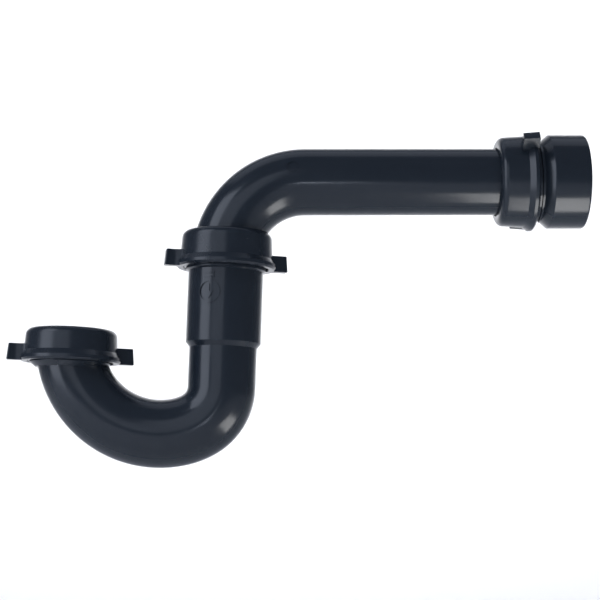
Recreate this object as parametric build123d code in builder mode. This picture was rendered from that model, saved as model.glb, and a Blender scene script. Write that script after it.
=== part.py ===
from build123d import *
import math
import os

# Tubular P-trap, 1-1/2 in: a waste arm with an elbow, a swivelling J-bend and a trap adapter,
# held together by three slip-joint nuts with bevelled washers.
# Millimetres. +X runs along the arm towards the drain pipe, +Z is up.
# The origin is the centre of the adapter's hub mouth, on the arm's axis.

# ---- driving dimensions -----------------------------------------------------------------------
# tube
tube_radius = 19.05
tube_bore_radius = 17.0
slip_bore_radius = 19.3

# adapter, measured along X from the hub mouth
hub_radius = 26.9
hub_bore_radius = 24.4
hub_depth = 18.0
hub_shoulder = 20.5
neck_end = 25.4
adapter_length = 43.9
hub_edge_round = 1.2

# arm and elbow
arm_insertion = 20.0
elbow_start = -160.0
elbow_radius = 45.7
elbow_sweep = 80.0
leg_length = 50.0
leg_lean = 2.2
leg_top = (-204.5, 0, -28.9)
elbow_floor = 2.0
gate_ring_x = -167.5
gate_turn = 17
gate_ring_radius = 3.4
gate_ring_width = 0.5
gate_ring_height = 0.25

# J-bend, measured down the leg from leg_top
bell_mouth_drop = 6.5
bell_radius = 21.2
bell_end_drop = 63.6
bell_cone_drop = 66.4
bell_bore_drop = 61.5
bend_start_drop = 88.7
bend_radii = (24.6, 36.0, 51.2)
bend_turns = (57, 18, 105)
bend_stop_short = 8
inlet_offset = 85.3
inlet_mouth_drop = 65.1
inlet_socket_depth = 13.0
inlet_collar_length = 12.8
inlet_cone_length = 2.6
inlet_thread_length = 13.4

# threaded mouth, the same on the adapter, the bell and the inlet
thread_pitch = 25.4 / 11.5
thread_root_radius = 22.7
thread_height = 1.1
thread_base_width = 1.25
thread_crest_width = 0.5
thread_embed = 0.15
thread_length = 18.5
bell_thread_length = 15.9
thread_lead_in = 0.8
thread_runout = 0.7
mouth_bevel_radius = 21.7
mouth_bevel_depth = 3.2

# slip-joint nut, measured outwards from the mouth that it closes
nut_closed_face = 6.2
nut_height = 21.0
inlet_nut_height = 18.5
nut_wall = 2.5
nut_hole_radius = 19.75
nut_top_radius = 25.3
nut_foot_radius = 26.2
nut_top_round = 4.0
nut_washer_seat_radius = 22.95
nut_thread_wall_radius = 24.1
nut_thread_crest_radius = 23.0
nut_thread_top_gap = 0.9
nut_lip_radius = 28.4
nut_lip_chamfer = 1.1
nut_lip_height = 5.8
nut_lip_flat = 2.8
wing_tip_radius = 35.6
wing_thickness = 5.7
wing_height = 9.2
wing_top_radius = 34.8
wing_root_angle = 33
wing_edge_round = 0.7
arm_wing_turn = -53
leg_wing_turn = 13

# washer
washer_bore_radius = 19.12
washer_flange_radius = 22.5
washer_gap = 0.12
washer_nose_length = 2.9
washer_nose_radius = 19.35
washer_shoulder_radius = 21.45

# raised flow mark on the bell: an arrow inside a ring, with two bars above it
mark_radius = 6.6
mark_line = 1.1
mark_height = 0.6
mark_bar_length = 6.5
mark_bar_rises = (8.4, 10.6)
mark_reach = 11.5
mark_root = 0.5
mark_turn = 24
mark_drop = 36.7


# ---- frames of the three slip joints: origin at the mouth, z out of the fitting ----------------
lean = math.radians(leg_lean)
leg_up = Vector(math.sin(lean), 0, math.cos(lean))
leg_right = Vector(math.cos(lean), 0, -math.sin(lean))
leg_origin = Vector(*leg_top)

# x points right and y up along the leg, as seen from the front
leg_section = Plane(origin=leg_origin, x_dir=leg_right, z_dir=(0, -1, 0))

arm_joint = Plane(origin=(-adapter_length, 0, 0), x_dir=(0, 0, 1), z_dir=(-1, 0, 0))
outlet_joint = Plane(
    origin=leg_origin - leg_up * bell_mouth_drop, x_dir=-leg_right, z_dir=leg_up
)
inlet_joint = Plane(
    origin=leg_origin - leg_up * inlet_mouth_drop - leg_right * inlet_offset,
    x_dir=-leg_right,
    z_dir=leg_up,
)


def section_of(joint):
    """Plane through the joint's axis: x is the radius, y runs along the axis."""
    return Plane(origin=joint.origin, x_dir=joint.x_dir, z_dir=-joint.y_dir)


def axis_of(joint):
    return Axis(joint.origin, joint.z_dir)


# ---- threads -----------------------------------------------------------------------------------
def thread_ridge(joint, start, turns, base_radius, crest_radius):
    """Right-hand helical ridge; start is the distance of its first turn from the mouth."""
    outward = 1 if crest_radius > base_radius else -1
    half_base = thread_base_width / 2
    half_crest = thread_crest_width / 2
    with BuildPart() as ridge:
        with BuildLine() as helix:
            Helix(
                pitch=thread_pitch,
                height=turns * thread_pitch,
                radius=base_radius,
                center=joint.origin + joint.z_dir * start,
                direction=joint.z_dir,
            )
        first = helix.line @ 0
        foot = joint.origin + joint.z_dir * start
        radial = (first - foot).normalized()
        with BuildSketch(Plane(origin=first, x_dir=radial, z_dir=helix.line % 0)):
            with BuildLine():
                Polyline(
                    (-outward * thread_embed, -half_base),
                    (outward * thread_height, -half_crest),
                    (outward * thread_height, half_crest),
                    (-outward * thread_embed, half_base),
                    close=True,
                )
            make_face()
        sweep(path=helix.line, is_frenet=True)
    return ridge.part


def male_thread(joint, length):
    turns = (length - thread_lead_in - thread_runout) / thread_pitch
    start = thread_runout - length
    return thread_ridge(
        joint, start, turns, thread_root_radius, thread_root_radius + thread_height
    )


def nut_thread(joint, height, first_male_start):
    """Ridge inside the nut, half a pitch out of step with the male ridge that it runs in."""
    lowest = nut_closed_face - height + thread_base_width
    steps = math.ceil((lowest - first_male_start) / thread_pitch - 0.5)
    start = first_male_start + (steps + 0.5) * thread_pitch
    turns = math.floor(2 * (-nut_thread_top_gap - start) / thread_pitch) / 2
    return thread_ridge(
        joint, start, turns, nut_thread_wall_radius, nut_thread_crest_radius
    )


def mouth_bevel(joint):
    """Cone that opens the fitting's bore towards its mouth, where the washer seats."""
    with BuildPart() as bevel:
        with BuildSketch(section_of(joint)):
            with BuildLine():
                Polyline(
                    (0, 1),
                    (mouth_bevel_radius, 1),
                    (mouth_bevel_radius, 0),
                    (slip_bore_radius, -mouth_bevel_depth),
                    (0, -mouth_bevel_depth),
                    close=True,
                )
            make_face()
        revolve(axis=axis_of(joint))
    return bevel.part


# ---- trap adapter ------------------------------------------------------------------------------
def make_adapter():
    with BuildPart() as adapter:
        with BuildSketch(Plane.XZ):
            with BuildLine():
                Polyline(
                    (0, hub_bore_radius),
                    (0, hub_radius),
                    (-hub_shoulder, hub_radius),
                    (-neck_end, thread_root_radius),
                    (-adapter_length, thread_root_radius),
                    (-adapter_length, slip_bore_radius),
                    (-hub_depth, slip_bore_radius),
                    (-hub_depth, hub_bore_radius),
                    close=True,
                )
            make_face()
        revolve(axis=Axis.X)
        hub_edges = adapter.edges().filter_by(GeomType.CIRCLE)
        mouth_rim = hub_edges.group_by(Axis.X)[-1].sort_by(SortBy.RADIUS)
        fillet(mouth_rim[-1], hub_edge_round)
        shoulder_rim = adapter.edges().filter_by(GeomType.CIRCLE).filter_by(
            lambda edge: abs(edge.center().X + hub_shoulder) < 0.01
        )
        fillet(shoulder_rim, hub_edge_round)
        add(mouth_bevel(arm_joint), mode=Mode.SUBTRACT)
        add(male_thread(arm_joint, thread_length))
    return adapter.part


# ---- raised marks ------------------------------------------------------------------------------
def raised_mark(frame, sketch, surface_radius, height, reach):
    """The part of an outward-extruded sketch that stands proud of a round wall by height.

    frame has its origin on the tube's axis and z along it; reach is the mark's half length."""
    with BuildPart() as mark:
        extrude(to_extrude=sketch, amount=surface_radius + 2)
        with BuildSketch(frame.offset(-reach)) as outer:
            Circle(surface_radius + height)
        extrude(to_extrude=outer.sketch, amount=2 * reach, mode=Mode.INTERSECT)
        with BuildSketch(frame.offset(-reach)) as core:
            Circle(surface_radius - mark_root)
        extrude(to_extrude=core.sketch, amount=2 * reach, mode=Mode.SUBTRACT)
    return mark.part


def gate_ring():
    """Small moulding gate ring on the front of the arm."""
    centre = Vector(gate_ring_x, 0, 0)
    frame = Plane(origin=centre, x_dir=(0, 0, 1), z_dir=(1, 0, 0))
    turn = math.radians(gate_turn)
    facing = (0, -math.cos(turn), math.sin(turn))
    with BuildSketch(Plane(origin=centre, x_dir=(1, 0, 0), z_dir=facing)) as ring:
        Circle(gate_ring_radius)
        Circle(gate_ring_radius - gate_ring_width, mode=Mode.SUBTRACT)
    return raised_mark(frame, ring.sketch, tube_radius, gate_ring_height, gate_ring_radius)


# ---- arm: straight tube, elbow and leg in one moulding -------------------------------------------
def elbow_path():
    with BuildLine(Plane.XZ) as path:
        Line((-adapter_length + arm_insertion, 0), (elbow_start, 0))
        JernArc(
            start=(elbow_start, 0),
            tangent=(-1, 0),
            radius=elbow_radius,
            arc_size=elbow_sweep,
        )
    return path.line


def elbow_tube(radius, cut_height):
    """The arm and elbow as a solid rod, cut square to the leg at cut_height above its top."""
    path = elbow_path()
    with BuildPart() as rod:
        with BuildSketch(Plane(origin=path @ 0, x_dir=(0, 1, 0), z_dir=path % 0)):
            Circle(radius)
        sweep(path=path)
        cut = Plane(origin=leg_origin + leg_up * cut_height, z_dir=leg_up)
        split(bisect_by=cut, keep=Keep.TOP)
    return rod.part


def make_arm():
    leg_frame = Plane(origin=leg_origin, x_dir=leg_right, z_dir=leg_up)
    with BuildPart() as arm:
        add(elbow_tube(tube_radius, 0))
        with BuildSketch(leg_frame):
            Circle(tube_radius)
        extrude(amount=-leg_length)
        add(elbow_tube(tube_bore_radius, elbow_floor), mode=Mode.SUBTRACT)
        with BuildSketch(leg_frame.offset(elbow_floor)):
            Circle(tube_bore_radius)
        extrude(amount=-leg_length - elbow_floor, mode=Mode.SUBTRACT)
        add(gate_ring())
    return arm.part


# ---- J-bend --------------------------------------------------------------------------------------
def bend_path():
    with BuildLine(leg_section) as path:
        first = Line((0, -bell_bore_drop), (0, -bend_start_drop))
        second = JernArc(first @ 1, first % 1, bend_radii[0], -bend_turns[0])
        third = JernArc(second @ 1, second % 1, bend_radii[1], -bend_turns[1])
        last_turn = bend_turns[2] - bend_stop_short
        JernArc(third @ 1, third % 1, bend_radii[2], -last_turn)
    return path.line


def bend_tube(radius):
    path = bend_path()
    with BuildPart() as rod:
        with BuildSketch(Plane(origin=path @ 0, x_dir=(0, 1, 0), z_dir=path % 0)):
            Circle(radius)
        sweep(path=path)
    return rod.part


def turned_sleeve(joint, points):
    """Solid turned about the joint's axis from a list of (radius, distance from mouth) points."""
    with BuildPart() as sleeve:
        with BuildSketch(section_of(joint)):
            with BuildLine():
                Polyline(*points, close=True)
            make_face()
        revolve(axis=axis_of(joint))
    return sleeve.part


def bell_outside():
    drop = bell_mouth_drop
    return turned_sleeve(
        outlet_joint,
        [
            (0, 0),
            (thread_root_radius, 0),
            (thread_root_radius, -bell_thread_length),
            (bell_radius, -bell_thread_length - 0.8),
            (bell_radius, drop - bell_end_drop),
            (tube_radius, drop - bell_cone_drop),
            (0, drop - bell_cone_drop),
        ],
    )


def inlet_outside():
    return turned_sleeve(
        inlet_joint,
        [
            (0, 0),
            (thread_root_radius, 0),
            (thread_root_radius, -inlet_collar_length),
            (tube_radius + 0.4, -inlet_collar_length - inlet_cone_length),
            (0, -inlet_collar_length - inlet_cone_length),
        ],
    )


def flow_mark():
    """Arrow in a ring under two bars, pointing down the leg, on the bell's front left."""
    turn = math.radians(mark_turn)
    facing = -leg_right * math.sin(turn) + Vector(0, -1, 0) * math.cos(turn)
    centre = leg_origin - leg_up * mark_drop
    half_head = mark_radius * 0.42
    with BuildSketch(Plane(origin=centre, x_dir=leg_up.cross(facing), z_dir=facing)) as arrow:
        Circle(mark_radius)
        Circle(mark_radius - mark_line, mode=Mode.SUBTRACT)
        with Locations((0, mark_radius * 0.25)):
            Rectangle(mark_line, mark_radius * 0.8)
        with BuildLine():
            Polyline((-half_head, 0), (half_head, 0), (0, -mark_radius * 0.62), close=True)
        make_face()
        for rise in mark_bar_rises:
            with Locations((0, rise)):
                Rectangle(mark_bar_length, mark_line)
    frame = Plane(origin=centre, x_dir=leg_right, z_dir=leg_up)
    return raised_mark(frame, arrow.sketch, bell_radius, mark_height, mark_reach)


def make_j_bend():
    drop = bell_mouth_drop
    with BuildPart() as j_bend:
        add(bell_outside())
        add(bend_tube(tube_radius))
        add(inlet_outside())
        add(bend_tube(tube_bore_radius), mode=Mode.SUBTRACT)
        with BuildSketch(outlet_joint):
            Circle(slip_bore_radius)
        extrude(amount=drop - bell_bore_drop, mode=Mode.SUBTRACT)
        with BuildSketch(inlet_joint):
            Circle(slip_bore_radius)
        extrude(amount=-inlet_socket_depth, mode=Mode.SUBTRACT)
        add(mouth_bevel(outlet_joint), mode=Mode.SUBTRACT)
        add(mouth_bevel(inlet_joint), mode=Mode.SUBTRACT)
        add(male_thread(outlet_joint, bell_thread_length))
        add(male_thread(inlet_joint, inlet_thread_length))
        add(flow_mark())
    return j_bend.part


# ---- slip-joint nut --------------------------------------------------------------------------------
def nut_body(joint, height):
    foot = nut_closed_face - height
    lip_top = foot + nut_lip_height
    with BuildPart() as body:
        with BuildSketch(section_of(joint)) as profile:
            with BuildLine():
                Polyline(
                    (nut_hole_radius, nut_closed_face),
                    (nut_top_radius, nut_closed_face),
                    (nut_foot_radius, lip_top),
                    (nut_lip_radius, foot + nut_lip_flat),
                    (nut_lip_radius, foot + nut_lip_chamfer),
                    (nut_lip_radius - nut_lip_chamfer, foot),
                    (nut_thread_wall_radius + 0.5, foot),
                    (nut_thread_wall_radius, foot + 0.5),
                    (nut_thread_wall_radius, -0.4),
                    (nut_washer_seat_radius, 0.6),
                    (nut_washer_seat_radius, nut_closed_face - nut_wall),
                    (nut_hole_radius, nut_closed_face - nut_wall),
                    close=True,
                )
            make_face()
            top_corner = profile.vertices().sort_by_distance((60, 60, 0))[0]
            fillet(top_corner, nut_top_round)
        revolve(axis=axis_of(joint))
    return body.part


def wing_sketch_points(half_turn):
    """Pinwheel wing: flat on one side, scooped on the other, tip outwards."""
    half = wing_thickness / 2
    root = math.radians(wing_root_angle)
    reach = nut_foot_radius - 0.6
    scoop_end = (reach * math.cos(root), reach * math.sin(root))
    scoop_middle = (0.5 * (wing_tip_radius + scoop_end[0]) - 3.0, half + 1.3)
    points = [(20, -half), (wing_tip_radius, -half), (wing_tip_radius, half)]
    points += [scoop_middle, scoop_end, (17, 10)]
    if half_turn:
        points = [(-x, -y) for x, y in points]
    return points


def nut_wings(joint, height, wing_angle):
    foot = nut_closed_face - height
    wing_top = foot + wing_height
    wing_direction = joint.x_dir.rotate(Axis((0, 0, 0), joint.z_dir), wing_angle)
    turned = Plane(
        origin=joint.origin + joint.z_dir * foot, x_dir=wing_direction, z_dir=joint.z_dir
    )
    with BuildPart() as wings:
        with BuildSketch(turned):
            for half_turn in (False, True):
                inner, flat_tip, tip, middle, root, back = wing_sketch_points(half_turn)
                with BuildLine():
                    Polyline(inner, flat_tip, tip)
                    ThreePointArc(tip, middle, root)
                    Polyline(root, back, inner)
                make_face()
            Circle(nut_thread_wall_radius + 0.6, mode=Mode.SUBTRACT)
        extrude(amount=wing_height)
        slanted_tips = turned_sleeve(
            joint,
            [(0, foot), (wing_tip_radius, foot), (wing_top_radius, wing_top), (0, wing_top)],
        )
        add(slanted_tips, mode=Mode.INTERSECT)
        tips = wings.edges().filter_by(
            lambda edge: (edge.center() - joint.origin).cross(joint.z_dir).length
            > wing_top_radius - 1.5
        )
        fillet(tips, wing_edge_round)
    return wings.part


def make_nut(joint, height, wing_angle, male_length):
    with BuildPart() as nut:
        add(nut_body(joint, height))
        add(nut_wings(joint, height, wing_angle))
        add(nut_thread(joint, height, thread_runout - male_length))
        add(nut.solids().sort_by(SortBy.VOLUME)[-1], mode=Mode.REPLACE)
    return nut.part


# ---- washer ----------------------------------------------------------------------------------------
def make_washer(joint):
    seat = nut_closed_face - nut_wall - washer_gap
    with BuildPart() as washer:
        with BuildSketch(section_of(joint)):
            with BuildLine():
                Polyline(
                    (washer_bore_radius, seat),
                    (washer_flange_radius, seat),
                    (washer_flange_radius, washer_gap),
                    (washer_shoulder_radius, washer_gap),
                    (washer_nose_radius, -washer_nose_length),
                    (washer_bore_radius, -washer_nose_length),
                    close=True,
                )
            make_face()
        revolve(axis=axis_of(joint))
    return washer.part


# ---- build and write ---------------------------------------------------------------------------------
pieces = {
    "trap_adapter": make_adapter(),
    "trap_arm": make_arm(),
    "j_bend": make_j_bend(),
    "arm_nut": make_nut(arm_joint, nut_height, arm_wing_turn, thread_length),
    "outlet_nut": make_nut(outlet_joint, nut_height, leg_wing_turn, bell_thread_length),
    "inlet_nut": make_nut(inlet_joint, inlet_nut_height, leg_wing_turn, inlet_thread_length),
    "arm_washer": make_washer(arm_joint),
    "outlet_washer": make_washer(outlet_joint),
    "inlet_washer": make_washer(inlet_joint),
}

os.makedirs("parts", exist_ok=True)
for name, piece in pieces.items():
    piece.label = name
    export_step(piece, f"parts/{name}.step")
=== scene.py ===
import math

import bpy
from mathutils import Matrix, Vector


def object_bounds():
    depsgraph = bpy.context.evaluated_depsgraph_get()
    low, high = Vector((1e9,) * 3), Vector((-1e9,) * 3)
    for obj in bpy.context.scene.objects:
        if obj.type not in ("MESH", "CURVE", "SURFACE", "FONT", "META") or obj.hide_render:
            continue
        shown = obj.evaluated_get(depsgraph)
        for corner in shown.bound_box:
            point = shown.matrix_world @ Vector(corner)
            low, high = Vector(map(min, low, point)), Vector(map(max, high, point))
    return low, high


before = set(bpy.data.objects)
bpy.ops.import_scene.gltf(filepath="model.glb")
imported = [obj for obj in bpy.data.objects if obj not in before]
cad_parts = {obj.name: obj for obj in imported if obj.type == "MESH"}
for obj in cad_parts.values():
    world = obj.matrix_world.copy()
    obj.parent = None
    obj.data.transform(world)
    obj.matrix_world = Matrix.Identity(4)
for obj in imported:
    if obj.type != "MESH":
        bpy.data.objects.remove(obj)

cad_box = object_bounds()

# ---- places and sizes: metres, degrees and watts; the lens and sensor in millimetres ----------
CAMERA_AIM = Vector((-0.1634, 0.0, -0.0680))
CAMERA_DISTANCE = 0.8348
CAMERA_ELEVATION = -7.24
CAMERA_AZIMUTH = 1.84
CAMERA_ROLL = -0.43
CAMERA_LENS = 88.26
SENSOR_WIDTH = 36.0

CAMERA_CLIP = 50

FLOOR_DROP = 0.16
FLOOR_REACH = 1.35
SWEEP_START = 1.1
SWEEP_RADIUS = 1.0
SWEEP_HEIGHT = 3.2
SWEEP_STEPS = 24
BACKDROP_HALF_WIDTH = 4.0
floor_height = cad_box[0][2] - FLOOR_DROP

# ---- colours and other looks -------------------------------------------------------------------
COOL = (0.78, 0.85, 1.0)
WHITE = (1.0, 1.0, 1.0)
SWEEP_SPREAD = 120
GLOW_LIFT = 0.005

ABS_DARK = (0.0140, 0.0195, 0.0265, 1)
ABS_PALE = (0.0190, 0.0255, 0.0340, 1)
ABS_IOR = 1.54
RUBBER_DARK = (0.020, 0.020, 0.021, 1)
RUBBER_PALE = (0.032, 0.032, 0.034, 1)
RUBBER_ROUGHNESS = 0.62
PAPER_COLOUR = (0.93, 0.93, 0.94, 1)
PAPER_ROUGHNESS = 0.9

ROOM_COLOUR = (0.80, 0.90, 1.15, 1)
ROOM_STRENGTH = 0.12
PALE_COLOUR = (0.9, 0.9, 0.9, 1)

# the sockets of the colour mix node, which go by number because their names repeat
MIX_FACTOR, MIX_FIRST, MIX_SECOND = 0, 6, 7
MIX_RESULT = 2


# ---- node helpers ------------------------------------------------------------------------------
def new_material(name):
    material = bpy.data.materials.new(name)
    material.use_nodes = True
    tree = material.node_tree
    return material, tree, tree.nodes["Principled BSDF"]


def add_node(tree, kind, **settings):
    node = tree.nodes.new(kind)
    for key, value in settings.items():
        if key in node.inputs:
            node.inputs[key].default_value = value
        else:
            setattr(node, key, value)
    return node


def noise(tree, coordinates, scale, detail, roughness=0.5):
    node = add_node(tree, "ShaderNodeTexNoise", Scale=scale, Detail=detail, Roughness=roughness)
    tree.links.new(coordinates, node.inputs["Vector"])
    return node.outputs["Fac"]


def remap(tree, value, low, high, from_low, from_high):
    node = add_node(tree, "ShaderNodeMapRange")
    node.inputs["From Min"].default_value = from_low
    node.inputs["From Max"].default_value = from_high
    node.inputs["To Min"].default_value = low
    node.inputs["To Max"].default_value = high
    tree.links.new(value, node.inputs["Value"])
    return node.outputs["Result"]


def mix_colours(tree, factor, first, second):
    node = add_node(tree, "ShaderNodeMix", data_type="RGBA")
    node.inputs[MIX_FIRST].default_value = first
    node.inputs[MIX_SECOND].default_value = second
    tree.links.new(factor, node.inputs[MIX_FACTOR])
    return node.outputs[MIX_RESULT]


def bump(tree, height, distance, strength, normal=None):
    node = add_node(tree, "ShaderNodeBump", Strength=strength, Distance=distance)
    tree.links.new(height, node.inputs["Height"])
    if normal is not None:
        tree.links.new(normal, node.inputs["Normal"])
    return node.outputs["Normal"]


# ---- materials ---------------------------------------------------------------------------------
def black_abs(name, gloss_low, gloss_high, rippled):
    """Glossy moulded ABS: blue-black and unevenly glossy, with soft ripples and grain if rippled."""
    material, tree, shader = new_material(name)
    place = add_node(tree, "ShaderNodeTexCoord").outputs["Object"]
    cloud = noise(tree, place, scale=28.0, detail=3.0, roughness=0.6)
    tree.links.new(mix_colours(tree, cloud, ABS_DARK, ABS_PALE), shader.inputs["Base Color"])
    smear = noise(tree, place, scale=60.0, detail=4.0, roughness=0.65)
    gloss = remap(tree, smear, gloss_low, gloss_high, from_low=0.3, from_high=0.75)
    tree.links.new(gloss, shader.inputs["Roughness"])
    shader.inputs["IOR"].default_value = ABS_IOR
    if rippled:
        wave = noise(tree, place, scale=22.0, detail=1.0, roughness=0.4)
        grain = noise(tree, place, scale=900.0, detail=2.0)
        waved = bump(tree, wave, distance=0.001, strength=0.12)
        grained = bump(tree, grain, distance=0.00004, strength=0.2, normal=waved)
        tree.links.new(grained, shader.inputs["Normal"])
    return material


def washer_rubber():
    """Dull black rubber with a fine grain."""
    material, tree, shader = new_material("washer_rubber")
    place = add_node(tree, "ShaderNodeTexCoord").outputs["Object"]
    cloud = noise(tree, place, scale=80.0, detail=3.0)
    tree.links.new(mix_colours(tree, cloud, RUBBER_DARK, RUBBER_PALE), shader.inputs["Base Color"])
    shader.inputs["Roughness"].default_value = RUBBER_ROUGHNESS
    grain = noise(tree, place, scale=1500.0, detail=2.0)
    grained = bump(tree, grain, distance=0.00008, strength=0.4)
    tree.links.new(grained, shader.inputs["Normal"])
    return material


def backdrop_paper():
    """Plain matt white paper."""
    material, _, shader = new_material("backdrop_paper")
    shader.inputs["Base Color"].default_value = PAPER_COLOUR
    shader.inputs["Roughness"].default_value = PAPER_ROUGHNESS
    return material


def dress(names, material):
    """Give each named CAD node this one material."""
    for name in names:
        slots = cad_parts[name].data.materials
        slots.clear()
        slots.append(material)


# ---- stage -------------------------------------------------------------------------------------
def make_backdrop():
    """A pale floor that curves up behind the object."""
    profile = [(-FLOOR_REACH, 0.0), (SWEEP_START, 0.0)]
    for step in range(1, SWEEP_STEPS + 1):
        angle = math.radians(90 * step / SWEEP_STEPS)
        y = SWEEP_START + SWEEP_RADIUS * math.sin(angle)
        z = SWEEP_RADIUS * (1 - math.cos(angle))
        profile.append((y, z))
    profile.append((SWEEP_START + SWEEP_RADIUS, SWEEP_HEIGHT))
    points = []
    for side in (-BACKDROP_HALF_WIDTH, BACKDROP_HALF_WIDTH):
        points += [(side, y, floor_height + z) for y, z in profile]
    count = len(profile)
    faces = [(i, i + 1, count + i + 1, count + i) for i in range(count - 1)]
    mesh = bpy.data.meshes.new("backdrop")
    mesh.from_pydata(points, [], faces)
    mesh.shade_smooth()
    backdrop = bpy.data.objects.new("backdrop", mesh)
    bpy.context.scene.collection.objects.link(backdrop)
    backdrop.data.materials.append(backdrop_paper())


def area_light(name, place, aim, size, power, colour=COOL, spread=180):
    """A soft light that shines on the object but isn't itself in the picture."""
    data = bpy.data.lights.new(name, "AREA")
    data.shape = "RECTANGLE"
    data.size, data.size_y = size
    data.energy = power
    data.color = colour
    data.spread = math.radians(spread)
    light = bpy.data.objects.new(name, data)
    light.location = place
    light.rotation_euler = (Vector(aim) - Vector(place)).to_track_quat("-Z", "Y").to_euler()
    light.visible_camera = False
    bpy.context.scene.collection.objects.link(light)
    return light


def make_lights():
    """A lit white sweep, a washed floor, panels at the left, one above and two small fills."""
    for name, side in (("sweep_left", -1.2), ("sweep_right", 0.9)):
        area_light(
            name,
            place=(side, 0.6, 1.1),
            aim=(-0.15, 2.1, 0.35),
            size=(1.0, 0.6),
            power=11.5,
            colour=WHITE,
            spread=SWEEP_SPREAD,
        )
    wash = area_light(
        "floor_wash",
        place=(-0.15, -1.2, 1.8),
        aim=(-0.15, -0.9, -0.3),
        size=(2.4, 0.8),
        power=12,
    )
    wash.visible_glossy = False
    area_light(
        "softbox_left",
        place=(-1.05, -0.50, 0.20),
        aim=CAMERA_AIM,
        size=(0.60, 1.3),
        power=5.0,
    )
    area_light(
        "panel_left",
        place=(-0.60, -1.02, 0.30),
        aim=(-0.45, 0.0, 0.0),
        size=(0.75, 0.9),
        power=1.4,
    )
    area_light(
        "overhead",
        place=(-0.15, 0.35, 1.3),
        aim=CAMERA_AIM,
        size=(2.0, 0.8),
        power=1.8,
    )
    area_light(
        "lamp_by_camera",
        place=(-0.12, -1.05, -0.24),
        aim=CAMERA_AIM,
        size=(0.03, 0.03),
        power=0.12,
    )
    area_light(
        "floor_glow",
        place=(0.06, -0.14, floor_height + GLOW_LIFT),
        aim=(0.06, -0.12, 1.0),
        size=(0.16, 0.24),
        power=0.50,
        colour=WHITE,
    )


def make_world():
    """A dim cool room for the reflections, and a pale one where the camera looks past the sweep."""
    world = bpy.data.worlds.new("studio")
    bpy.context.scene.world = world
    world.use_nodes = True
    tree = world.node_tree
    room = tree.nodes["Background"]
    room.inputs["Color"].default_value = ROOM_COLOUR
    room.inputs["Strength"].default_value = ROOM_STRENGTH
    pale = add_node(tree, "ShaderNodeBackground", Color=PALE_COLOUR, Strength=1.0)
    choice = add_node(tree, "ShaderNodeMixShader")
    light_path = add_node(tree, "ShaderNodeLightPath")
    tree.links.new(light_path.outputs["Is Camera Ray"], choice.inputs[0])
    tree.links.new(room.outputs[0], choice.inputs[1])
    tree.links.new(pale.outputs[0], choice.inputs[2])
    tree.links.new(choice.outputs[0], tree.nodes["World Output"].inputs["Surface"])


def make_camera():
    """The photograph's viewpoint: low, a little to the left and slightly rolled."""
    elevation = math.radians(CAMERA_ELEVATION)
    azimuth = math.radians(CAMERA_AZIMUTH)
    forward = Vector(
        (
            math.sin(azimuth) * math.cos(elevation),
            math.cos(azimuth) * math.cos(elevation),
            -math.sin(elevation),
        )
    )
    data = bpy.data.cameras.new("camera")
    data.lens = CAMERA_LENS
    data.sensor_width = SENSOR_WIDTH
    data.clip_end = CAMERA_CLIP
    camera = bpy.data.objects.new("camera", data)
    camera.location = CAMERA_AIM - forward * CAMERA_DISTANCE
    turn = forward.to_track_quat("-Z", "Y").to_matrix().to_4x4()
    roll = Matrix.Rotation(math.radians(CAMERA_ROLL), 4, "Z")
    camera.rotation_euler = (turn @ roll).to_euler()
    bpy.context.scene.collection.objects.link(camera)
    bpy.context.scene.camera = camera


# ---- build -------------------------------------------------------------------------------------
bpy.context.scene.view_settings.view_transform = "Standard"
make_camera()
make_lights()
make_world()
make_backdrop()
tube_abs = black_abs("tube_abs", gloss_low=0.15, gloss_high=0.24, rippled=True)
nut_abs = black_abs("nut_abs", gloss_low=0.18, gloss_high=0.30, rippled=False)
dress(["trap_arm", "j_bend", "trap_adapter"], tube_abs)
dress(["arm_nut", "outlet_nut", "inlet_nut"], nut_abs)
dress(["arm_washer", "outlet_washer", "inlet_washer"], washer_rubber())

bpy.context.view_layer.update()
